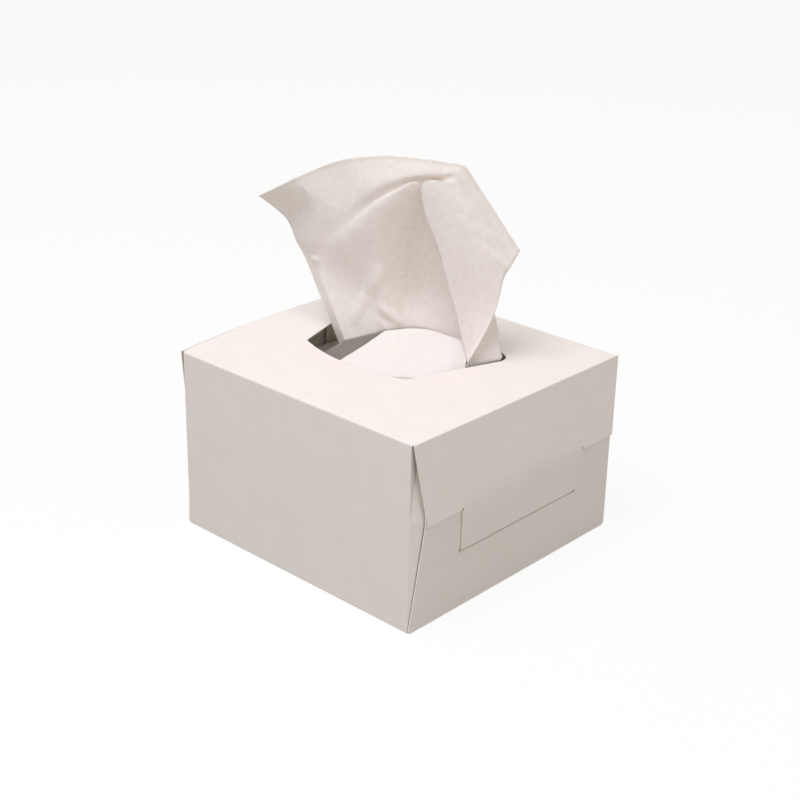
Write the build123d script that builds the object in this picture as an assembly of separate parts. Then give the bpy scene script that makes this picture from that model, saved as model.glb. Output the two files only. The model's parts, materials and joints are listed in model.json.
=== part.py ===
from build123d import *

import os

import numpy as np

# Pop-up pack of lens cleaning tissues: a folded board carton with slit-lock ends and an open top,
# a stack of interfolded tissues, one tissue standing in the opening and the next one below it.
# Millimetres. X runs along the front wall, Y to the back wall, Z up. Origin: middle of the bottom.

# Carton
carton_length = 120.0     # between the two end folds, along X
carton_width = 117.6      # outside, along Y
carton_height = 74.0      # outside, at the straight long folds
board = 0.5               # board thickness
fold_radius = 0.7         # outer rounding of a long fold
panel_bow = 2.8           # rise of the top panel's middle at the left end
seam_width = 12.0         # glued strip of the bottom panel, turned up inside the back wall
corner_hole = 0.9         # radius of the pinhole where three folds meet

# Torn-out opening in the top panel
opening_at = (-5.5, 2.0)       # its centre
opening_near_half = 26.5       # half length of the near edge
opening_near_corner = 21.5     # near corners, in front of the centre
opening_near_reach = 26.5      # middle of the near edge, in front of the centre
opening_far_half = 40.0        # half length at the far corners
opening_far_corner = 22.0      # far corners, behind the centre
opening_far_reach = 33.0       # middle of the far edge, behind the centre
opening_sharp_round = 2.5      # near left corner
opening_soft_round = 6.0       # the other corners

# End closures
end_bow = 3.0             # how far a closed end stands out at its bend
bend_height = 44.0        # the bend, just above the lock flap's shoulders
bend_round = 60.0         # rounding of the bend
layer_gap = 0.15          # air between two layers of board
hinge_gap = 0.05          # air between a panel's end and its flap
flap_taper = 4.6          # how much narrower a flap is at its shoulders, each side
lower_flap_height = 58.0
dust_flap_reach = 40.0
dust_flap_knee = 5.0      # from the wall to the line where a dust flap meets the slopes
dust_flap_taper = 7.0
dust_flap_clear = 1.0     # above the bottom panel and below the top panel
shoulder_height = 42.6    # lock flap's shoulders above the bottom fold
tongue_half = 35.5        # half width of the tongue at the shoulders
tongue_end_half = 34.0    # half width of the tongue in the slit
tongue_tuck = 14.0        # length of the tongue behind the lower flap
tongue_round = 9.0        # corners of the tongue's tucked end
tongue_slant = 45.0       # degrees off upright where the tongue passes the slit
relief_radius = 0.8       # small hole where shoulder and tongue meet
slit_height = 24.8        # above the bottom fold
slit_side_clear = 0.6     # slit past the tongue, each side
slit_width = 1.8

# Tissues
end_clear = 3.0           # air between the stack and a closed end of the carton
side_clear = 4.8          # air between the stack and the front or back wall
head_room = 16.0          # from the top of the stack to the top fold
stack_round = 3.0
tissue = 0.4              # thickness of a standing tissue with its fine creases
tissue_clear = 0.4        # air between a standing tissue and the stack
fold_step = 1.0           # length of one step in the fold lines
fold_parts = 4            # flat strips between one fold line and the next

half_length = carton_length / 2
half_width = carton_width / 2
shoulder_half = half_width - flap_taper
sheet_width = carton_length - 2 * end_clear     # a sheet's width, along X in the stack
folded_depth = carton_width - 2 * side_clear    # half of a sheet's length, along Y in the stack
stack_top = carton_height - head_room

# Fold lines of the standing tissue, left edge to right edge, in steps from the opening's centre.
# Each has its foot on the stack (X, Y) and its rise from the opening to the free top edge (X, Y and
# Z above the top fold): lower crease, panel, crest, valley, band and edge. The creases run along
# those rows and along the fold lines, from 0 for a round fold to 1 for a sharp one.
standing_row_creases = [0, 1, 0.1, 0.1, 0, 0.1, 0]
standing_line_creases = [0, 0.9, 0.2, 0.2, 0.3, 0.9, 0.9, 0]
standing_folds = [
    ((-27, 3), [(-18, -10, 1), (-33.5, -6.3, 13.2), (-43.4, -5.6, 27.6),
                (-47.7, -6.1, 33.7), (-52.5, -7.1, 42.3), (-57.7, -17.2, 52.5)]),
    ((-23, 6), [(-15.5, -7.5, 1.5), (-24.7, -6.5, 16.9), (-35.2, -8, 29.8),
                (-34.5, -10.3, 37.7), (-32, -12, 54.5), (-39.7, -14.6, 62.7)]),
    ((-15, 11), [(-9.5, -2.5, 4), (-15.5, -2, 20.5), (-18.5, -10.5, 41),
                 (-20.7, -9.5, 46.5), (-19.5, -8.5, 54), (-23, -7.2, 71.3)]),
    ((-7, 15), [(-4, 3, 6), (-6.5, 0.5, 25), (-3, -7, 55),
                (-5.7, -5.8, 59.5), (-4.5, -5, 65.5), (-6, -0.2, 74.8)]),
    ((5, 17.5), [(7.5, 9.5, 8), (1, 13, 24), (7.5, 0, 63.8),
                 (4.3, 3.2, 66.5), (6.5, 3, 69.5), (8, 8.3, 74.8)]),
    ((31, 20), [(38.5, 19, 2), (28.5, 22.5, 21.5), (10, 12, 57),
                (10, 10.5, 66), (14, 9.5, 70), (13, 13, 73.5)]),
    ((28, 8), [(32.5, 7, -0.5), (23, 5.5, 28), (11, 1, 65.5),
               (17.5, 10.5, 68), (18.5, 12.5, 71), (20.5, 15, 73.5)]),
    ((26, 6), [(33.3, 4.5, 0.5), (37, 14.5, 19), (38, 18.5, 33.5),
               (39.5, 20.5, 38), (40.5, 22, 41.5), (41, 23.5, 44)]),
]

# Fold lines of the next tissue, left edge to right edge: foot on the stack, then up under the near
# rim, over to its crest in front of the standing tissue and a little way down behind it.
next_row_creases = [0, 0.3, 0.5, 0.3, 0.5, 0]
next_line_creases = [0, 0.3, 0.3, 0.3, 0]
next_folds = [
    ((-3, -31), [(-3.5, -28, -8), (-5, -23, -1.8), (-6, -10, 2.5), (-4.5, 1, 5.5), (-4.5, 3, -8)]),
    ((7, -32), [(7, -30, -8), (7, -24.5, -1.8), (5, -8, 4), (3, 5, 7.5), (3, 6.5, -8)]),
    ((18, -30), [(18, -28, -8), (17.5, -22.5, -1.8), (14, -6, 4.5), (11.5, 7.5, 8.5), (11.5, 9, -8)]),
    ((28, -28), [(28, -25, -8), (28, -16.5, -2.2), (27, -3, 2.6), (25.5, 9, 6.3), (24, 10, -8)]),
    ((38, -23), [(38, -20, -8), (36.5, -11.5, -2.6), (33.6, -1.5, -1.3), (32.4, 5.2, 1), (28.5, 5.5, -6)]),
]


def across_x(x):
    """Plane across the carton at a given X: its own axes are Y and Z, and it faces +X."""
    return Plane(origin=(x, 0, 0), x_dir=(0, 1, 0), z_dir=(1, 0, 0))


def across_y(y):
    """Plane along the carton at a given Y: its own axes are X and Z, and it faces -Y."""
    return Plane(origin=(0, y, 0), x_dir=(1, 0, 0), z_dir=(0, -1, 0))


def bowed_line(half, height, bow):
    """Line across the carton at a given height, its middle raised by a bow."""
    if bow == 0:
        return Line((half, height), (-half, height))
    return ThreePointArc((half, height), (0, height + bow), (-half, height))


def sleeve_profile(x, inset, bow):
    """Section of the sleeve: bottom and two walls, with the top panel bowed up."""
    half = half_width - inset
    high = carton_height - inset
    walls = Polyline((-half, high), (-half, inset), (half, inset), (half, high))
    section = make_face([bowed_line(half, high, bow), *walls.edges()])
    return across_x(x) * fillet(section.vertices(), fold_radius - inset)


def sleeve_solid(inset):
    """Straight rulings from the bowed left end to the flat right end."""
    ends = [sleeve_profile(-half_length, inset, panel_bow), sleeve_profile(half_length, inset, 0)]
    return loft(ends, ruled=True)


def opening_cutter():
    """The opening's outline: bowed near and far edges and slanted ends, rounded at the corners."""
    near_left = (-opening_near_half, -opening_near_corner)
    near_right = (opening_near_half, -opening_near_corner)
    far_left = (-opening_far_half, opening_far_corner)
    far_right = (opening_far_half, opening_far_corner)
    outline = make_face([
        ThreePointArc(near_left, (0, -opening_near_reach), near_right),
        Line(near_right, far_right),
        ThreePointArc(far_right, (0, opening_far_reach), far_left),
        Line(far_left, near_left),
    ])
    sharp, *soft = outline.vertices().sort_by_distance((*near_left, 0))
    outline = fillet(soft, opening_soft_round)
    sharp = outline.vertices().sort_by_distance(sharp)[0]
    outline = fillet(sharp, opening_sharp_round)
    return Pos(*opening_at, carton_height / 2) * extrude(outline, carton_height)


def faceted(front, back):
    """Thin solid of flat facets between two grids of points."""
    sides = np.stack([front, back])
    n = np.arange(sides[..., 0].size).reshape(sides.shape[:3])
    panels = np.stack([n[:, :-1, :-1], n[:, 1:, :-1], n[:, 1:, 1:], n[:, :-1, 1:]], axis=-1)
    rim = np.concatenate([n[:, :-1, 0], n[:, -1, :-1], n[:, :0:-1, -1], n[:, 0, :0:-1]], axis=1)
    edge = np.stack([rim[0], np.roll(rim[0], -1), np.roll(rim[1], -1), rim[1]], axis=-1)
    quads = np.concatenate([panels.reshape(-1, 4), edge])
    facets = np.concatenate([quads[:, :3], quads[:, [0, 2, 3]]])
    points = [Vector(*p) for p in sides.reshape(-1, 3)]
    return Solid(Shell([Face(Wire.make_polygon([points[i] for i in facet])) for facet in facets]))


class End:
    """One closed end: layers of folded flaps on two flat slopes that meet at a rounded bend.

    Shapes are drawn for the right end, and mirrored for the left one. A layer's offset is measured
    outwards from the lower flap's outer face.
    """

    outside = layer_gap                                # inner face of the lock flap
    behind = -2 * board - layer_gap                    # inner face of the tucked tongue
    innermost = -2 * board - 2 * layer_gap             # outer face of the dust flaps

    def __init__(self, side, fold_bow):
        self.side = side
        self.fold_bow = fold_bow
        self.top = carton_height + fold_bow
        self.low_tilt = np.arctan2(end_bow, bend_height)
        self.high_tilt = np.arctan2(end_bow, self.top - bend_height)
        self.middle = (self.high_tilt - self.low_tilt) / 2
        self.foot_x = half_length + hinge_gap - layer_gap
        bend = Vector(self.foot_x + end_bow, bend_height)
        self.centre = bend - self.outwards(self.middle, bend_round / np.cos(self.middle + self.low_tilt))

    def place(self, shape):
        """Put a shape that is drawn for the right end at this end."""
        return shape if self.side > 0 else mirror(shape, Plane.YZ)

    def outwards(self, tilt, length):
        """Step across the layers, tilted up from level, in section."""
        return Vector(np.cos(tilt), np.sin(tilt)) * length

    def slope_x(self, offset, z):
        """X of a layer's face at a given height, on the slopes as if the bend were sharp."""
        tilt, rise = (self.low_tilt, z) if z <= bend_height else (self.high_tilt, self.top - z)
        return self.foot_x + rise * np.tan(tilt) + offset / np.cos(tilt)

    def face_line(self, offset, bent):
        """A layer's face in section: lower slope, rounded bend and upper slope, or the upper one alone."""
        radius = bend_round + offset
        low, mid, high = [self.centre + self.outwards(tilt, radius)
                          for tilt in (-self.low_tilt, self.middle, self.high_tilt)]
        foot = low - self.outwards(np.pi / 2 - self.low_tilt, carton_height)
        up = self.outwards(np.pi / 2 + self.high_tilt, carton_height)
        if not bent:
            return [Line(high - up, high + up)]
        return [Line(foot, low), ThreePointArc(low, mid, high), Line(high, high + up)]

    def block(self, outline):
        """All that lies within an outline across the carton, through every layer of the end."""
        return extrude(across_x(half_length) * outline, 2 * end_bow, both=True)

    def layer(self, offset, outline, bent=True):
        """Sheet of board from an offset outwards, cut to an outline across the carton."""
        inner, outer = self.face_line(offset, bent), self.face_line(offset + board, bent)
        edges = [Line(inner[0] @ 0, outer[0] @ 0), Line(inner[-1] @ 1, outer[-1] @ 1)]
        section = make_face([*inner, *outer, *edges])
        return extrude(across_y(half_width) * section, carton_width) & self.block(outline)

    def lower_flap(self):
        """Tapered flap from the bottom fold, with the slit that takes the tongue."""
        right_edge = [(half_width, 0), (shoulder_half, shoulder_height), (shoulder_half, lower_flap_height)]
        left_edge = [(-y, z) for y, z in reversed(right_edge)]
        outline = Polygon(*right_edge, *left_edge, align=None)
        slit = Pos(0, slit_height) * Rectangle(2 * (tongue_end_half + slit_side_clear), slit_width)
        return self.place(self.layer(-board, outline - slit))

    def wall_end(self):
        """X of the long walls' ends, just behind the lower flap's foot."""
        return self.slope_x(-board, 0) - layer_gap

    def dust_flap(self, wall):
        """Flap from a wall's straight end fold, pushed out to the slopes and tapered to its free edge."""
        low = board + dust_flap_clear
        high = carton_height - board - dust_flap_clear
        fold = [(self.wall_end(), half_width, z) for z in (low, bend_height, high)]
        knee = [(self.slope_x(self.innermost, z), half_width - dust_flap_knee, z)
                for z in (low, bend_height, high)]
        free = [(self.slope_x(self.innermost, z), half_width - dust_flap_reach, z)
                for z in (low + dust_flap_taper, bend_height, high - dust_flap_taper)]
        face = np.array([fold, knee, free]) * (1, wall, 1)
        return self.place(faceted(face, face - (board, 0, 0)))

    def wall_trim(self, wall):
        """What the end of a wall loses so that it ends flush with its dust flap."""
        surplus = half_length - self.wall_end()
        trim = Box(2 * surplus, 4 * board, carton_height - 2 * board)
        return self.place(Pos(half_length, wall * half_width, carton_height / 2) * trim)

    def lock_flap(self):
        """Flap from the top fold: straight shoulders, relief holes and the bent outer part of its tongue."""
        right_edge = [(half_width, carton_height), (shoulder_half, shoulder_height),
                      (tongue_half, shoulder_height), (tongue_end_half, slit_height + slit_width)]
        left_edge = [(-y, z) for y, z in reversed(right_edge)]
        sides = Polyline(*right_edge, *left_edge)
        outline = make_face([bowed_line(half_width, carton_height, self.fold_bow), *sides.edges()])
        for y in (-tongue_half, tongue_half):
            outline -= Pos(y, shoulder_height) * Circle(relief_radius)
        middle = Rectangle(2 * tongue_half, 2 * self.top)
        bent = self.layer(self.outside, outline & middle)
        return self.place(bent + self.layer(self.outside, outline - middle, bent=False))

    def tongue(self):
        """The tongue's end: inwards through the slit and down behind the lower flap."""
        top = slit_height + slit_width
        foot = slit_height - tongue_tuck
        slant = np.radians(tongue_slant)
        drop = (self.outside - self.behind) / 2 / np.tan(slant)
        miter = board / 2 * np.tan(slant / 2)
        faces = []
        for offset, shift in ((0, miter), (board, -miter)):
            outer_bend = slit_height + drop + shift
            inner_bend = slit_height - drop + shift
            faces.append([
                (self.slope_x(self.outside + offset, top), top),
                (self.slope_x(self.outside + offset, outer_bend), outer_bend),
                (self.slope_x(self.behind + offset, inner_bend), inner_bend),
                (self.slope_x(self.behind + offset, foot), foot),
            ])
        section = Polygon(*faces[0], *reversed(faces[1]), align=None)
        body = extrude(across_y(tongue_end_half) * section, 2 * tongue_end_half)
        outline = Pos(0, foot) * Rectangle(2 * tongue_end_half, top - foot, align=(Align.CENTER, Align.MIN))
        outline = fillet(outline.vertices().group_by(Axis.Y)[0], tongue_round)
        return self.place(body & self.block(outline))


right_end = End(1, 0)
left_end = End(-1, panel_bow)


def make_carton():
    """The folded and glued blank: sleeve, opening, seam strip, dust flaps and lower flaps."""
    body = sleeve_solid(0) - sleeve_solid(board) - opening_cutter()
    seam_length = 2 * (right_end.wall_end() - dust_flap_knee)
    seam_at = half_width - board - board / 2
    body += Pos(0, seam_at, board + seam_width / 2) * Box(seam_length, board, seam_width)
    for end in (left_end, right_end):
        for wall in (-1, 1):
            body -= end.wall_trim(wall)
            body += end.dust_flap(wall)
        body += end.lower_flap()
        for wall in (-1, 1):
            for z in (0, carton_height):
                body -= Pos(end.side * half_length, wall * half_width, z) * Sphere(corner_hole)
    return body


def make_stack():
    """Interfolded sheets in one block on the carton's bottom, soft at its upper edges."""
    stack_height = stack_top - board
    block = Pos(0, 0, board + stack_height / 2) * Box(sheet_width, folded_depth, stack_height)
    return fillet(block.edges().group_by(Axis.Z)[-1], stack_round)


def through(values, creases):
    """Points through a row of folds: a cubic piece per span, its slopes joined at round folds only."""
    spans = np.diff(values, axis=0)
    smooth = np.gradient(values, axis=0)
    sharp = np.reshape(creases, (-1, *[1] * (values.ndim - 1)))
    leave = smooth[:-1] + (spans - smooth[:-1]) * sharp[:-1]
    arrive = smooth[1:] + (spans - smooth[1:]) * sharp[1:]
    t = np.reshape(np.arange(fold_parts) / fold_parts, (-1, *[1] * (values.ndim - 1)))
    pieces = (values[:-1, None] * (2 * t**3 - 3 * t**2 + 1) + leave[:, None] * (t**3 - 2 * t**2 + t)
              + values[1:, None] * (3 * t**2 - 2 * t**3) + arrive[:, None] * (t**3 - t**2))
    return np.concatenate([pieces.reshape(-1, *values.shape[1:]), values[-1:]])


def make_sheet(folds, row_creases, line_creases):
    """Thin tissue of flat facets, whose fold lines run from the stack to its free edge."""
    foot = (stack_top + tissue_clear + tissue - carton_height) / fold_step
    net = np.array([[(*place, foot), *rise] for place, rise in folds]) * fold_step
    lines = through(np.swapaxes(net, 0, 1), row_creases)
    middle = through(np.swapaxes(lines, 0, 1), line_creases) + np.array([*opening_at, carton_height])
    normal = np.cross(np.gradient(middle, axis=0), np.gradient(middle, axis=1))
    normal *= tissue / 2 / np.linalg.norm(normal, axis=2, keepdims=True)
    return faceted(middle + normal, middle - normal)


nodes = {
    "carton": make_carton(),
    "right_lock_flap": right_end.lock_flap(),
    "right_lock_tongue": right_end.tongue(),
    "left_lock_flap": left_end.lock_flap(),
    "left_lock_tongue": left_end.tongue(),
    "tissue_stack": make_stack(),
    "pop_up_tissue": make_sheet(standing_folds, standing_row_creases, standing_line_creases),
    "next_tissue": make_sheet(next_folds, next_row_creases, next_line_creases),
}

os.makedirs("parts", exist_ok=True)
for name, shape in nodes.items():
    export_step(shape, f"parts/{name}.step")
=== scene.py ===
# %% [markdown]
# A pop-up pack of lens cleaning tissues: a folded board carton with slit-lock ends, a stack of
# interfolded sheets, one tissue standing in the open top and the next one below it. The CAD frame
# holds every piece, in metres. The board keeps its CAD shapes and gets its finish here. The tissues
# are remade as fine surfaces, because their soft folds are what the eye goes to first.

# %% Load the CAD frame
import json
import math

import bmesh
import bpy
import numpy as np
from mathutils import Matrix, Vector


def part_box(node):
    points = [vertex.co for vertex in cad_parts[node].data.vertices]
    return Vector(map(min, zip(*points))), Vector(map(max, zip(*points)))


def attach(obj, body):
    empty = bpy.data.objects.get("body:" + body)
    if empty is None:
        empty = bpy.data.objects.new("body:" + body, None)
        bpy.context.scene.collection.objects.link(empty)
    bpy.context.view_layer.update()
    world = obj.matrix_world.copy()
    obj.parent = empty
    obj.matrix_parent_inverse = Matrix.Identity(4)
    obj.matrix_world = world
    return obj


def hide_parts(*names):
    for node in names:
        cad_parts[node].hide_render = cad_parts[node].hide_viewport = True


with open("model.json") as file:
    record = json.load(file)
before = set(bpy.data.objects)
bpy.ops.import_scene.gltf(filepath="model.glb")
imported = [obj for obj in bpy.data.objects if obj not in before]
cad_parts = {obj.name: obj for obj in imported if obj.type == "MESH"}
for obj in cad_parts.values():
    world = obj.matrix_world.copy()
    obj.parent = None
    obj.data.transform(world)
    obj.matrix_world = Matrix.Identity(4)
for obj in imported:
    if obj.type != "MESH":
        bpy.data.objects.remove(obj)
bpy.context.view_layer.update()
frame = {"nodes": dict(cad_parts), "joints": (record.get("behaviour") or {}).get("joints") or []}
scene = bpy.context.scene
MM = 0.001

# %% [markdown]
# The camera stands where the photograph was taken: a little over half a metre away, looking down at
# the front right corner. It could be tracked to a point on the carton, but then its roll is lost. Here
# three angles give its axes, and the focal length is the one that makes the carton's edges converge as
# they do in the picture.

# %% Camera
CAMERA_AT = Vector((0.36217, -0.39810, 0.28756))
CAMERA_AZIMUTH = math.radians(42.285)
CAMERA_ELEVATION = math.radians(23.435)
CAMERA_ROLL = math.radians(1.24)
FOCAL_MM = 67.48
SENSOR_MM = 36
NEAREST_SEEN = 0.01


def camera_axes(azimuth, elevation, roll):
    """Right, up and back axes: the view direction from two angles, then a turn about it."""
    back = Vector((math.sin(azimuth) * math.cos(elevation), -math.cos(azimuth) * math.cos(elevation),
                   math.sin(elevation)))
    level = Vector((math.cos(azimuth), math.sin(azimuth), 0))
    upright = back.cross(level)
    right = level * math.cos(roll) + upright * math.sin(roll)
    return right, back.cross(right), back


camera = bpy.data.objects.new("camera", bpy.data.cameras.new("camera"))
scene.collection.objects.link(camera)
axes = camera_axes(CAMERA_AZIMUTH, CAMERA_ELEVATION, CAMERA_ROLL)
camera.matrix_world = Matrix.Translation(CAMERA_AT) @ Matrix(axes).transposed().to_4x4()
camera.data.lens = FOCAL_MM
camera.data.sensor_width = SENSOR_MM
camera.data.clip_start = NEAREST_SEEN
scene.camera = camera
print("camera looks along", [round(-x, 3) for x in axes[2]])

# %% [markdown]
# Every finish is a small tree of shader nodes, and so are the surround and the floor. Such a tree can
# be wired by hand in the node editor. In code, four helpers keep the wiring short: one adds a node, one
# feeds an input, one does a sum and one mixes two shaders.

# %% Shader node helpers


def node(tree, kind, **settings):
    """Add a shader node, with its properties and input values set by name."""
    made = tree.nodes.new(kind)
    for key, value in settings.items():
        if hasattr(made, key):
            setattr(made, key, value)
        else:
            made.inputs[key].default_value = value
    return made


def feed(tree, term, socket):
    """Set an input to a number, or link it to another node's output."""
    if isinstance(term, (int, float)):
        socket.default_value = term
    else:
        tree.links.new(term, socket)


def calc(tree, operation, *terms):
    """Math node on numbers and outputs, in their order."""
    made = node(tree, "ShaderNodeMath", operation=operation)
    for term, socket in zip(terms, made.inputs):
        feed(tree, term, socket)
    return made.outputs[0]


def mix_shaders(tree, share, first, second):
    """Mix of two shaders: a share of the second, and the first for the rest."""
    made = node(tree, "ShaderNodeMixShader")
    for term, socket in zip((share, first, second), made.inputs):
        feed(tree, term, socket)
    return made.outputs[0]


print("shader node helpers ready")

# %% [markdown]
# The light is plain and soft, as in a white tent: a dim, warm surround, a wide lamp above the front
# wall and a weaker one beyond the right end. A picture of a studio could light the carton too, but a
# plain colour and two lamps are easier to set. The camera sees the surround as white, and that white
# puts no more light on the carton.

# %% White surround
SURROUND_STRENGTH = 0.56
SURROUND_TINT = (1.0, 0.973, 0.9)


def white_for_camera(tree):
    """1 for rays that show the background itself: camera, glossy or transmission rays."""
    path = node(tree, "ShaderNodeLightPath")
    straight = calc(tree, "MAXIMUM", path.outputs["Is Camera Ray"], path.outputs["Is Glossy Ray"])
    return calc(tree, "MAXIMUM", straight, path.outputs["Is Transmission Ray"])


world = bpy.data.worlds.new("white_surround")
scene.world = world
world.use_nodes = True
tree = world.node_tree
tree.nodes.clear()
lighting = node(tree, "ShaderNodeBackground", Color=(*SURROUND_TINT, 1), Strength=SURROUND_STRENGTH)
shown = node(tree, "ShaderNodeBackground", Color=(1, 1, 1, 1), Strength=1.0)
surround = mix_shaders(tree, white_for_camera(tree), lighting.outputs[0], shown.outputs[0])
tree.links.new(surround, node(tree, "ShaderNodeOutputWorld").inputs[0])
print("surround of strength", SURROUND_STRENGTH)

# %% Soft lamps
KEY_AT = (0.0, -0.47, 1.02)
KEY_SIZE = 0.7
KEY_WATTS = 6.4
KEY_TINT = (0.95, 0.945, 1.0)
FILL_AT = (1.0, -0.25, 0.85)
FILL_SIZE = 0.6
FILL_WATTS = 2.3
FILL_TINT = (1.0, 0.96, 0.88)


def disk_lamp(name, place, size, watts, color):
    """Round soft lamp that faces the origin."""
    lamp = bpy.data.objects.new(name, bpy.data.lights.new(name, "AREA"))
    lamp.data.shape = "DISK"
    lamp.data.size = size
    lamp.data.energy = watts
    lamp.data.color = color
    lamp.location = place
    lamp.rotation_mode = "QUATERNION"
    lamp.rotation_quaternion = (-Vector(place)).to_track_quat("-Z", "Y")
    scene.collection.objects.link(lamp)


disk_lamp("key_lamp", KEY_AT, KEY_SIZE, KEY_WATTS, KEY_TINT)
disk_lamp("fill_lamp", FILL_AT, FILL_SIZE, FILL_WATTS, FILL_TINT)
print("lamps of", KEY_WATTS, "and", FILL_WATTS, "W")

# %% [markdown]
# The carton stands on a plain pale floor. A shadow catcher would leave no floor to see. Here the
# camera sees a floor that is mostly white of its own, with a small share of a lit surface that keeps
# the shadow. The carton itself gets only the light that a mid grey floor throws back.

# %% Floor
FLOOR_HALF = 4.0
FLOOR_BOUNCE = (0.42, 0.41, 0.39)
FLOOR_LIT = (0.92, 0.92, 0.92)
FLOOR_SHADOW = 0.12

floor_corners = np.array([(-1, -1, 0), (1, -1, 0), (1, 1, 0), (-1, 1, 0)]) * FLOOR_HALF
floor_mesh = bpy.data.meshes.new("floor")
floor_mesh.from_pydata(floor_corners.tolist(), [], [(0, 1, 2, 3)])
floor = bpy.data.objects.new("floor", floor_mesh)
scene.collection.objects.link(floor)
floor_paint = bpy.data.materials.new("white_floor")
floor_paint.use_nodes = True
tree = floor_paint.node_tree
tree.nodes.clear()
bounce = node(tree, "ShaderNodeBsdfDiffuse", Color=(*FLOOR_BOUNCE, 1))
lit = node(tree, "ShaderNodeBsdfDiffuse", Color=(*FLOOR_LIT, 1))
glow = node(tree, "ShaderNodeEmission", Strength=1.0)
seen = mix_shaders(tree, 1 - FLOOR_SHADOW, lit.outputs[0], glow.outputs[0])
shade = mix_shaders(tree, white_for_camera(tree), bounce.outputs[0], seen)
tree.links.new(shade, node(tree, "ShaderNodeOutputMaterial").inputs[0])
floor.data.materials.append(floor_paint)
scene.view_settings.view_transform = "Standard"
print("floor of", 2 * FLOOR_HALF, "m, with a share of", FLOOR_SHADOW, "for the shadow")

# %% [markdown]
# Paper and board are both mats of fibres: cloudy where the mat is thicker or thinner, with fine fibres
# that cross on the surface. A scan of paper would show that at one size only. Noise in a node group
# fits every piece, and each material places the group with its own scales.

# %% Fibre mat node group
CLOUD_NOISE = {"Detail": 4.0, "Roughness": 0.6}
FIBRE_NOISE = {"Detail": 3.0, "Roughness": 0.65}
FIBRE_TURNS = ((0.3, 0.2, 0.5), (0.2, 0.9, 2.0))
FIBRE_STRETCH = (1.0, 0.16, 0.6)


def new_group(name, values, results):
    """Empty node group that takes a place and named values, with its input and output nodes."""
    group = bpy.data.node_groups.new(name, "ShaderNodeTree")
    group.interface.new_socket("Vector", in_out="INPUT", socket_type="NodeSocketVector")
    for value in values:
        group.interface.new_socket(value, in_out="INPUT", socket_type="NodeSocketFloat")
    for result in results:
        group.interface.new_socket(result, in_out="OUTPUT", socket_type="NodeSocketFloat")
    return group, group.nodes.new("NodeGroupInput"), group.nodes.new("NodeGroupOutput")


def make_fibre_group():
    """Cloud: soft noise in octaves. Fibre: the mean of two noises, stretched along two directions."""
    group, start, end = new_group("fibre_mat", ("Cloud scale", "Fibre scale"), ("Cloud", "Fibre"))
    cloud = node(group, "ShaderNodeTexNoise", **CLOUD_NOISE)
    group.links.new(start.outputs["Vector"], cloud.inputs["Vector"])
    group.links.new(start.outputs["Cloud scale"], cloud.inputs["Scale"])
    group.links.new(cloud.outputs["Fac"], end.inputs["Cloud"])
    layers = []
    for turn in FIBRE_TURNS:
        stretch = node(group, "ShaderNodeMapping", Rotation=turn, Scale=FIBRE_STRETCH)
        noise = node(group, "ShaderNodeTexNoise", **FIBRE_NOISE)
        group.links.new(start.outputs["Vector"], stretch.inputs["Vector"])
        group.links.new(stretch.outputs["Vector"], noise.inputs["Vector"])
        group.links.new(start.outputs["Fibre scale"], noise.inputs["Scale"])
        layers.append(noise.outputs["Fac"])
    mean = calc(group, "MULTIPLY", calc(group, "ADD", *layers), 1 / len(layers))
    group.links.new(mean, end.inputs["Fibre"])
    return group


fibre_group = make_fibre_group()
print("node group:", fibre_group.name)

# %% [markdown]
# Carton board is coated on its outer side only, and its raw inner side is grey. Each side could have
# its own faces and material, but the CAD meshes stay as they are. So a second group tells the sides
# apart by place: inside is deeper than half the board's thickness behind the bowed top panel, the
# walls, the bottom or the end flaps, which stand out in two slopes. The dust flaps run from the wall to
# a knee on those slopes as flat facets with a twist between them, and the tongues step in at the slit.

# %% Inner side node group
fold_at = {joint["name"]: joint["pos_m"] for joint in frame["joints"]}
HALF_LENGTH = fold_at["right_flap_fold"][0]
TOP_FOLD = fold_at["right_flap_fold"][2]
TOP_BOW = fold_at["left_flap_fold"][2] - TOP_FOLD
HALF_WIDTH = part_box("carton")[1][1]
HALF_BOARD = 0.00025
END_BOW = 0.003            # how far a closed end stands out at its bend
BEND_HEIGHT = 0.044
END_TOP = TOP_FOLD + TOP_BOW / 2
SLIT_HEIGHT = 0.0248
SLIT_STEP = 0.00065        # above and below the slit's middle, where the tongue steps in
FACET_TWIST = 0.00285      # how far the facets' shared edge lies behind a smooth surface


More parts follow.
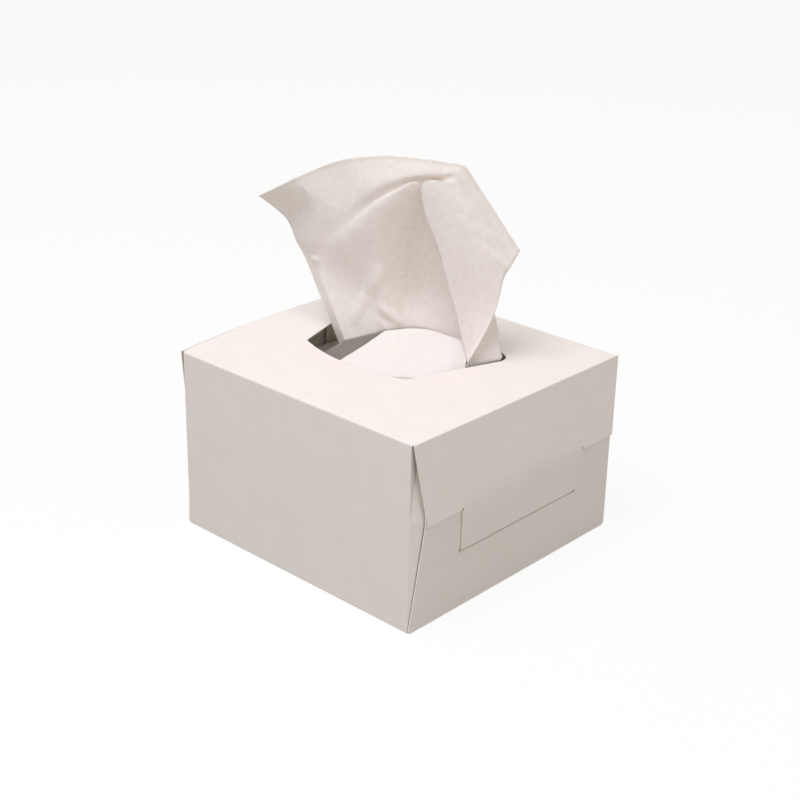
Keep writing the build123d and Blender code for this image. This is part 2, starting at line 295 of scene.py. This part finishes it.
def make_inside_group():
    """Inside is 1 where |x| < foot + s * (rise + reach - twist * (1 - s)), and y and z lie inside too.

    s = min((half width - |y|) / knee, 1) goes from the wall to the knee, rise is the lower one of the
    two slopes, and reach changes from low to high at the slit. The roof is the top fold plus an arch
    that grows from nothing at the right end to the bow at the left end.
    """
    group, start, end = new_group("inner_side", ("Foot", "Knee", "Low reach", "High reach"), ("Inside",))

    def on(operation, *terms):
        return calc(group, operation, *terms)

    split = node(group, "ShaderNodeSeparateXYZ")
    group.links.new(start.outputs["Vector"], split.inputs[0])
    x, y, z = split.outputs
    low_slope = on("MULTIPLY", z, END_BOW / BEND_HEIGHT)
    high_slope = on("MULTIPLY", on("SUBTRACT", END_TOP, z), END_BOW / (END_TOP - BEND_HEIGHT))
    reach = node(group, "ShaderNodeMapRange")
    reach.inputs["From Min"].default_value = SLIT_HEIGHT - SLIT_STEP
    reach.inputs["From Max"].default_value = SLIT_HEIGHT + SLIT_STEP
    group.links.new(z, reach.inputs["Value"])
    group.links.new(start.outputs["Low reach"], reach.inputs["To Min"])
    group.links.new(start.outputs["High reach"], reach.inputs["To Max"])
    depth = on("SUBTRACT", HALF_WIDTH, on("ABSOLUTE", y))
    share = on("MINIMUM", on("DIVIDE", depth, start.outputs["Knee"]), 1)
    stand = on("ADD", on("MINIMUM", low_slope, high_slope), reach.outputs[0])
    stand = on("ADD", stand, on("MULTIPLY_ADD", share, FACET_TWIST, -FACET_TWIST))
    face = on("MULTIPLY_ADD", share, stand, start.outputs["Foot"])
    across = on("MULTIPLY", y, 1 / HALF_WIDTH)
    arch = on("SUBTRACT", 1, on("MULTIPLY", across, across))
    along = on("MULTIPLY_ADD", x, -TOP_BOW / 2 / HALF_LENGTH, TOP_BOW / 2)
    roof = on("MULTIPLY_ADD", arch, along, TOP_FOLD - HALF_BOARD)
    inside = on("LESS_THAN", on("ABSOLUTE", x), face)
    for test in (on("GREATER_THAN", depth, HALF_BOARD), on("GREATER_THAN", z, HALF_BOARD),
                 on("LESS_THAN", z, roof)):
        inside = on("MULTIPLY", inside, test)
    group.links.new(inside, end.inputs["Inside"])
    return group


inside_group = make_inside_group()
print("node group:", inside_group.name)

# %% [markdown]
# The board's coat is matte, a touch warm, with a faint cloudiness. The tissue is thinner and its mat is
# more open, so its clouds and fibres show more, and some light goes through. Where sheets still lie in
# layers, less light goes through and the clouds even out. Their tones are also painted whiter than the
# tissue's: partly for the layers, and partly as painted light for the next sheet, which lies face up to
# the lamp. One function makes all these papers, because they differ only in their values.

# %% Paper materials
BOARD_WHITE = (0.87, 0.815, 0.797)
BOARD_SHADE = (0.845, 0.788, 0.765)
TISSUE_WHITE = (0.915, 0.83, 0.795)
TISSUE_SHADE = (0.85, 0.76, 0.72)
# Layered tones: whiter than the tissue's, partly for the layers and partly painted light for the next
# sheet's lit face.
LAYERED_AND_LIT_WHITE = (0.93, 0.88, 0.86)
LAYERED_AND_LIT_SHADE = (0.9, 0.845, 0.82)
BOARD_LOOK = {"cloud_scale": 90, "fibre_scale": 900, "bump": 0.12, "roughness": 0.62, "glow_through": 0}
TISSUE_LOOK = {"cloud_scale": 420, "fibre_scale": 1500, "bump": 0.35, "roughness": 0.9,
               "glow_through": 0.45}
LAYERED_LOOK = TISSUE_LOOK | {"bump": 0.25, "glow_through": 0.3}
SPECULAR_LEVEL = 0.25
GLOW_REACH = (1.0, 0.9, 0.75)      # of red, green and blue light, as shares of the glow's depth
GLOW_DEPTH = 0.001
CLOUD_RANGE = (0.3, 0.7)           # the noise values of the dark and the light tone
RELIEF_DEPTH = 0.0002


def paper_material(name, light, dark, cloud_scale, fibre_scale, bump, roughness, glow_through):
    """Matte paper: a colour between two tones by the clouds, and a bump from the fibres."""
    made = bpy.data.materials.new(name)
    made.use_nodes = True
    tree = made.node_tree
    shader = tree.nodes["Principled BSDF"]
    shader.inputs["Roughness"].default_value = roughness
    shader.inputs["Specular IOR Level"].default_value = SPECULAR_LEVEL
    shader.inputs["Subsurface Weight"].default_value = glow_through
    shader.inputs["Subsurface Radius"].default_value = GLOW_REACH
    shader.inputs["Subsurface Scale"].default_value = GLOW_DEPTH
    place = node(tree, "ShaderNodeTexCoord")
    fibres = node(tree, "ShaderNodeGroup", node_tree=fibre_group)
    fibres.inputs["Cloud scale"].default_value = cloud_scale
    fibres.inputs["Fibre scale"].default_value = fibre_scale
    tree.links.new(place.outputs["Object"], fibres.inputs["Vector"])
    tone = node(tree, "ShaderNodeValToRGB")
    for stop, position, colour in zip(tone.color_ramp.elements, CLOUD_RANGE, (dark, light)):
        stop.position = position
        stop.color = (*colour, 1)
    tree.links.new(fibres.outputs["Cloud"], tone.inputs["Fac"])
    tree.links.new(tone.outputs["Color"], shader.inputs["Base Color"])
    relief = node(tree, "ShaderNodeBump", Strength=bump, Distance=RELIEF_DEPTH)
    tree.links.new(fibres.outputs["Fibre"], relief.inputs["Height"])
    tree.links.new(relief.outputs["Normal"], shader.inputs["Normal"])
    return made


tissue_paint = paper_material("lens_tissue", TISSUE_WHITE, TISSUE_SHADE, **TISSUE_LOOK)
# A lighter copy of the tissue paint: partly layered sheets, partly painted light.
layered_and_lit_paint = paper_material("layered_and_lit_tissue", LAYERED_AND_LIT_WHITE, LAYERED_AND_LIT_SHADE, **LAYERED_LOOK)
print("tissue materials:", tissue_paint.name, layered_and_lit_paint.name)

# %% Board materials with a raw inner side
BOARD_RAW = (0.72, 0.7, 0.6)
CARTON_INSIDE = {"Foot": 0.059, "Knee": 0.005, "Low reach": -0.00065, "High reach": -0.00065}
FLAP_INSIDE = {"Foot": 0.0599, "Knee": 0.00001, "Low reach": -0.0009, "High reach": 0.00035}


def board_material(name, inside):
    """Coated board, with the raw board's grey where the inner side group says so."""
    made = paper_material(name, BOARD_WHITE, BOARD_SHADE, **BOARD_LOOK)
    tree = made.node_tree
    coat = tree.nodes["Principled BSDF"].inputs["Base Color"]
    inner = node(tree, "ShaderNodeGroup", node_tree=inside_group, **inside)
    tree.links.new(tree.nodes["Texture Coordinate"].outputs["Object"], inner.inputs["Vector"])
    mix = node(tree, "ShaderNodeMix", data_type="RGBA")
    white, grey, shown = mix.inputs[6], mix.inputs[7], mix.outputs[2]
    grey.default_value = (*BOARD_RAW, 1)
    tree.links.new(coat.links[0].from_socket, white)
    tree.links.new(inner.outputs["Inside"], mix.inputs[0])
    tree.links.new(shown, coat)
    return made


board_paint = board_material("coated_board", CARTON_INSIDE)
flap_paint = board_material("coated_flap", FLAP_INSIDE)
print("board materials:", board_paint.name, flap_paint.name)

# %% [markdown]
# The carton and its flaps are right as the CAD made them: thin board with rounded folds, cut flaps and
# a torn-out opening. They could be rebuilt as finer meshes, but flat board gains nothing from that. The
# lock flaps and tongues take a material of their own, because their inner side lies further out.

# %% Board finish on the carton and flaps
board_nodes = [name for name in frame["nodes"] if "tissue" not in name]
for name in board_nodes:
    mesh = frame["nodes"][name].data
    mesh.materials.clear()
    mesh.materials.append(flap_paint if "lock" in name else board_paint)
print("board on", board_nodes)

# %% [markdown]
# A tissue is a sheet whose fold lines run from the stack up to its free edge. A cloth simulation would
# find folds of its own, and these have to be the ones in the picture. So curves are laid through the
# fold lines, first along and then across them, which gives a surface on a grid. A round fold keeps its
# slope and a crease breaks it.

# %% Sheet surfaces from fold lines
OPENING_AT = np.array([-5.5, 2.0, TOP_FOLD / MM])
STACK_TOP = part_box("tissue_stack")[1][2] / MM
FOOT_ABOVE_STACK = 0.8


def through(values, creases, steps):
    """Cubic piece per span: its end slopes are shared at a round fold (0) and its own at a crease (1)."""
    spans = np.diff(values, axis=0)
    smooth = np.gradient(values, axis=0)
    flat = [1] * (values.ndim - 1)
    sharp = np.reshape(creases, (-1, *flat))
    leave = smooth[:-1] + (spans - smooth[:-1]) * sharp[:-1]
    arrive = smooth[1:] + (spans - smooth[1:]) * sharp[1:]
    t = np.reshape(np.arange(steps) / steps, (-1, *flat))
    pieces = (values[:-1, None] * (2 * t**3 - 3 * t**2 + 1) + leave[:, None] * (t**3 - 2 * t**2 + t)
              + values[1:, None] * (3 * t**2 - 2 * t**3) + arrive[:, None] * (t**3 - t**2))
    return np.concatenate([pieces.reshape(-1, *values.shape[1:]), values[-1:]])


def sheet_grid(folds, row_creases, line_creases, steps):
    """Grid in mm from the opening's centre: curves along each fold line, then across the lines."""
    foot = STACK_TOP + FOOT_ABOVE_STACK - OPENING_AT[2]
    net = np.array([[(*place, foot), *rise] for place, rise in folds])
    lines = through(np.swapaxes(net, 0, 1), row_creases, steps)
    return through(np.swapaxes(lines, 0, 1), line_creases, steps)


print("stack top at", round(STACK_TOP, 1), "mm, opening at", OPENING_AT, "mm")

# %% Meshes from grids
TISSUE_THICKNESS = 0.14 * MM
SHORTEST_NORMAL = 1e-9


def grid_normals(grid):
    """Unit normals of a grid: the cross product of its differences along the two directions."""
    normal = np.cross(np.gradient(grid, axis=0), np.gradient(grid, axis=1))
    return normal / np.maximum(np.linalg.norm(normal, axis=2, keepdims=True), SHORTEST_NORMAL)


def grid_object(name, grid, material):
    """Mesh of quads over a grid of points in mm, with a UV map in sheet order, smooth shaded."""
    rows, columns = grid.shape[:2]
    n = np.arange(rows * columns).reshape(rows, columns)
    quads = np.stack([n[:-1, :-1], n[1:, :-1], n[1:, 1:], n[:-1, 1:]], axis=-1).reshape(-1, 4)
    mesh = bpy.data.meshes.new(name)
    mesh.from_pydata((grid.reshape(-1, 3) * MM).tolist(), [], quads.tolist())
    across, along = np.meshgrid(np.linspace(0, 1, rows), np.linspace(0, 1, columns), indexing="ij")
    place = np.stack([across, along], axis=-1).reshape(-1, 2).astype(np.float32)
    mesh.uv_layers.new(name="sheet").data.foreach_set("uv", place[quads.reshape(-1)].reshape(-1))
    mesh.polygons.foreach_set("use_smooth", np.ones(len(quads), dtype=bool))
    mesh.materials.append(material)
    made = bpy.data.objects.new(name, mesh)
    scene.collection.objects.link(made)
    return made


def tissue_object(name, grid, material):
    """Tissue on a grid from the opening's centre, with its thickness half to each side."""
    made = grid_object(name, grid + OPENING_AT, material)
    wall = made.modifiers.new("paper_thickness", "SOLIDIFY")
    wall.thickness = TISSUE_THICKNESS
    wall.offset = 0
    return made


print("tissue thickness", round(TISSUE_THICKNESS / MM, 2), "mm")

# %% [markdown]
# Between its folds a pulled tissue is never quite flat. It swells a little, it keeps faint crossing
# lines from having been packed, single pinches show where fingers held it, and its cut edge turns. A
# sculpting brush could draw these, or a bump could feign them. Here each is a small height along the
# sheet's own normals, so it is real in every view and the same on every run.

# %% Swells and crossing lines
WAVES = 14
PACE_RANGE = (0.7, 1.4)
SWELL_LENGTH = 26
RIDGE_LENGTH = 34
RIDGE_SPREAD = 0.15


def sheet_place(grid):
    """Way along the sheet in mm, across and along its lines: running sums of the grid's steps."""
    across = np.linalg.norm(np.diff(grid, axis=0, prepend=grid[:1]), axis=2).cumsum(axis=0)
    along = np.linalg.norm(np.diff(grid, axis=1, prepend=grid[:, :1]), axis=2).cumsum(axis=1)
    return np.stack([across, along], axis=-1)


def plane_waves(place, length, seed):
    """Random smooth field of unit spread: a sum of cosines of about one wavelength in all directions."""
    rng = np.random.default_rng(seed)
    angle, phase = rng.uniform(0, 2 * np.pi, (2, WAVES))
    pace = 2 * np.pi / length * rng.uniform(*PACE_RANGE, WAVES)
    turns = place[..., :1] * pace * np.cos(angle) + place[..., 1:] * pace * np.sin(angle) + phase
    return np.cos(turns).sum(axis=-1) / np.sqrt(WAVES / 2)


def crumple(grid, swell, ridge, seed):
    """h = swell * f + ridge * exp(-(g / spread)^2): two random fields, with ridges where g is zero."""
    place = sheet_place(grid)
    height = swell * plane_waves(place, SWELL_LENGTH, seed)
    height += ridge * np.exp(-(plane_waves(place, RIDGE_LENGTH, seed + 1) / RIDGE_SPREAD) ** 2)
    return grid + grid_normals(grid) * height[..., None]


print("swells about", SWELL_LENGTH, "mm long, lines about", RIDGE_LENGTH, "mm apart")

# %% Pinches and turned edges


def pinch(grid, start, end, height, width):
    """Soft ridge on a line that fades to its ends: h = height * sin(pi * share) * exp(-(d / width)^2)."""
    start, run = np.array(start), np.array(end) - np.array(start)
    share = np.clip((grid - start) @ run / (run @ run), 0, 1)
    distance = np.linalg.norm(grid - start - share[..., None] * run, axis=2)
    rise = height * np.sin(np.pi * share) * np.exp(-(distance / width) ** 2)
    return grid + grid_normals(grid) * rise[..., None]


def turn_edge(grid, side, height, reach):
    """Turn the last edge of one side: h = height * exp(-(d / reach)^2), d from the edge along the sheet."""
    along = sheet_place(grid)[..., side]
    distance = np.take(along, [-1], axis=side) - along
    return grid + grid_normals(grid) * (height * np.exp(-(distance / reach) ** 2))[..., None]


print("pinches and edges ready")

# %% [markdown]
# The standing tissue has eight fold lines. From left to right: its left edge, the turned corner, a
# gathered panel, the middle, the dark recess, the hidden back fold, the ridge of the bright right
# panel and that panel's edge. Each starts at its foot on the stack (X, Y) and rises over the lower
# crease, the panel, the crest, the valley and the upper band to the cut edge (X, Y, Z), in mm from the
# opening's centre. Points on fold lines are few enough to set one by one, which a dense mesh isn't.

# %% Fold lines of the standing tissue
STANDING_ROW_CREASES = [0, 1, 0.1, 0.1, 0, 0.1, 0]
STANDING_LINE_CREASES = [0, 0.9, 0.2, 0.2, 0.3, 0.9, 0.9, 0]
STANDING_FOLDS = [
    ((-41, -6), [(-23.2, -6.7, -3), (-32.2, -7.8, 14.1), (-43.4, -5.6, 27.6),
                 (-47.7, -6.1, 33.7), (-52.5, -7.1, 42.3), (-57.7, -17.2, 52.5)]),
    ((-26, 4), [(-17.5, -9.6, 0.8), (-27.4, -8.9, 16.4), (-35.2, -8, 29.8),
                (-34.5, -10.3, 37.7), (-32, -12, 54.5), (-39.7, -14.6, 62.7)]),
    ((-15, 11), [(-9.5, -2.5, 4), (-15.5, -2, 20.5), (-18.8, -9.6, 39.2),
                 (-20.7, -9.4, 46.5), (-18.7, -9.5, 56.6), (-22.3, -8, 71.7)]),
    ((-7, 15), [(-4, 3, 6), (-6.5, 0.5, 25), (-3.7, -6.3, 54.6),
                (-5.7, -5.8, 59.5), (-3.5, -6.1, 66.1), (-5, -1.3, 75.4)]),
    ((5, 17.5), [(7.5, 9.5, 8), (1, 13, 24), (6, 1.6, 62.9),
                 (5, 2.4, 67), (7, 2.4, 69.8), (8.5, 7.8, 74.9)]),
    ((31, 20), [(38.5, 19, 2), (28.5, 22.5, 21.5), (10, 12, 57),
                (10, 10.5, 66), (14, 9.5, 70), (13, 12.3, 74)]),
    ((28, 8), [(32.5, 7, -0.5), (23, 5.5, 28), (11, 1, 65.5),
               (17.5, 10.5, 68), (18.5, 12.5, 71), (20.5, 15, 73.5)]),
    ((26, 6), [(33.3, 4.5, 0.5), (37, 14.5, 19), (38, 18.5, 33.5),
               (39.5, 20.5, 38), (40.5, 22, 41.5), (41, 23.5, 44)]),
]
# Start, end, height and width of each pinch.
STANDING_PINCHES = [
    ((-17.2, -6.8, 6.7), (-13.4, -1.2, 19.5), 1.4, 2.4),
    ((-15, -2.7, 15), (-5.3, -0.6, 33.3), 1.8, 2.6),
    ((-9.1, 0, 16.6), (-0.4, 5.6, 8), 1.4, 1.5),
    ((-8.8, 0, 12.5), (-3.8, 3, 6.3), -0.9, 1.5),
    ((-38.5, -7, 29.2), (-32, -8.2, 30), 1.0, 1.4),
]
print("standing tissue:", len(STANDING_FOLDS), "fold lines,", len(STANDING_PINCHES), "pinches")

# %% Standing tissue
standing = sheet_grid(STANDING_FOLDS, STANDING_ROW_CREASES, STANDING_LINE_CREASES, steps=28)
for start, end, height, width in STANDING_PINCHES:
    standing = pinch(standing, start, end, height, width)
standing = crumple(standing, swell=0.18, ridge=0.10, seed=11)
for side in (0, 1):
    standing = turn_edge(standing, side, height=0.35, reach=0.9)
pop_up = tissue_object("standing_tissue", standing, tissue_paint)
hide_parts("pop_up_tissue")
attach(pop_up, "pack")
print("standing tissue spans", np.round(np.ptp(standing.reshape(-1, 3), axis=0), 1), "mm")

# %% [markdown]
# The next tissue comes up inside the near rim of the opening, lies back towards the standing one and
# goes down again behind its crest. A flat patch would look the same from the front, but from above and
# from the left it is seen to bend, so it is made as the standing tissue is, from five fold lines.

# %% Next tissue
NEXT_ROW_CREASES = [0, 0.3, 0.8, 0.3, 0, 0.5, 0]
NEXT_LINE_CREASES = [0, 0.3, 0.3, 0.3, 0]
NEXT_FOLDS = [
    ((-4, -29), [(-4.5, -26.6, -8), (-5, -25, 0.2), (-6, -10, 2.5),
                 (-5.3, -4.5, 4.3), (-4.5, 1, 5.5), (-4.5, 3, -8)]),
    ((7, -29), [(7, -26.6, -8), (7, -24.9, 0.4), (5, -8, 4),
                (4, -1.5, 6.1), (3, 5, 7.5), (3, 6.5, -8)]),
    ((18, -27.5), [(18, -25, -8), (17.5, -23, 0.2), (14, -6, 4.5),
                   (12.8, 0.8, 6.9), (11.5, 7.5, 8.5), (11.5, 9, -8)]),
    ((26, -23), [(26, -20, -8), (25.6, -17, 0), (27.5, -3, 2.2),
                 (26.8, 3.2, 5), (26, 9.5, 8), (25, 10.5, -8)]),
    ((38, -23), [(38, -20, -8), (36.5, -11.5, -2.6), (34, 2, -1.6),
                 (31.7, 6.1, 1.7), (29.7, 12, 7.5), (29, 11.5, -6)]),
]
following = sheet_grid(NEXT_FOLDS, NEXT_ROW_CREASES, NEXT_LINE_CREASES, steps=24)
following = pinch(following, start=(9.6, -10.7, 3.7), end=(31, -8.3, 0.5), height=0.5, width=1.2)
following = crumple(following, swell=0.08, ridge=0.06, seed=23)
# The next sheet takes the lighter layered paint, which is partly painted light for its face up to the lamp.
next_sheet = tissue_object("next_sheet", following, layered_and_lit_paint)
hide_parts("next_tissue")
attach(next_sheet, "pack")
print("next tissue spans", np.round(np.ptp(following.reshape(-1, 3), axis=0), 1), "mm")

# %% [markdown]
# The sheets still in the carton lie interfolded. Hundreds of single sheets would be heavy, and little
# of them is seen. So one closed surface stands for them: an outline carried up over rounded layers, a
# little uneven as folded edges are, and in over a top that sags and waves slightly.

# %% Surface of the stack
STACK_LAYERS = 40
LAYER_STEPS = 4
LAYER_ROUND = 0.5
LAYER_SHIFT = 0.35
LAYER_SEED = 5
OUTLINE_STEPS = 240
OUTLINE_POWER = 0.12
TOP_RINGS = 40
TOP_WAVE = 0.4
TOP_SAG = 0.8
TOP_WAVE_LENGTH = 40
TOP_WAVE_SEED = 31


def stack_outline(half):
    """Rounded rectangle as a superellipse: x = a * sgn(cos) |cos|^p and y = b * sgn(sin) |sin|^p."""
    angle = np.linspace(0, 2 * np.pi, OUTLINE_STEPS + 1)
    turn = np.stack([np.cos(angle), np.sin(angle)], axis=-1)
    outline = np.sign(turn) * np.abs(turn) ** OUTLINE_POWER * half[:2]
    outline[-1] = outline[0]
    return outline


def stack_grid(low, high):
    """Closed block: the outline times a scale, from the bottom's middle up the sides and in over the top.

    On the sides the scale is 1 - inset / a, and a layer's inset is its own shift plus
    round * (1 - |sin(pi * layers * level)|). The top sinks by (sag - wave * f) * (1 - scale), with f a
    random field.
    """
    middle, half = (high + low) / 2, (high - low) / 2
    level = np.linspace(0, 1, STACK_LAYERS * LAYER_STEPS + 1)
    shift = np.random.default_rng(LAYER_SEED).uniform(0, LAYER_SHIFT, STACK_LAYERS + 1)
    layer = np.minimum((level * STACK_LAYERS).astype(int), STACK_LAYERS - 1)
    inset = shift[layer] + LAYER_ROUND * (1 - np.abs(np.sin(np.pi * level * STACK_LAYERS)))
    side_scale = 1 - inset / half[0]
    ring = np.linspace(1, 0, TOP_RINGS + 1)[1:]
    scale = np.concatenate([[0], side_scale, ring * side_scale[-1]])
    rise = np.concatenate([[0], level, np.ones(TOP_RINGS)]) * (high[2] - low[2])
    spread = stack_outline(half)[:, None] * scale[:, None]
    wave = TOP_WAVE * plane_waves(spread, TOP_WAVE_LENGTH, TOP_WAVE_SEED) - TOP_SAG
    wave *= (rise == rise[-1]) * (1 - scale)
    return np.concatenate([spread + middle[:2], (rise + wave + low[2])[..., None]], axis=-1)


print("stack of", STACK_LAYERS, "visible layers")

# %% Stack of sheets
SEAM_REACH = 0.001 * MM


def close_seams(made):
    """Merge the points that meet at the outline's seam and at the middles of top and bottom."""
    work = bmesh.new()
    work.from_mesh(made.data)
    bmesh.ops.remove_doubles(work, verts=work.verts, dist=SEAM_REACH)
    work.to_mesh(made.data)
    work.free()


stack_low, stack_high = [np.array(corner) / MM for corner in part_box("tissue_stack")]
# The stack takes the same layered paint, whose lighter tones are partly painted light.
sheets = grid_object("folded_sheets", stack_grid(stack_low, stack_high), layered_and_lit_paint)
close_seams(sheets)
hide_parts("tissue_stack")
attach(sheets, "pack")
print("stack of", len(sheets.data.polygons), "faces")
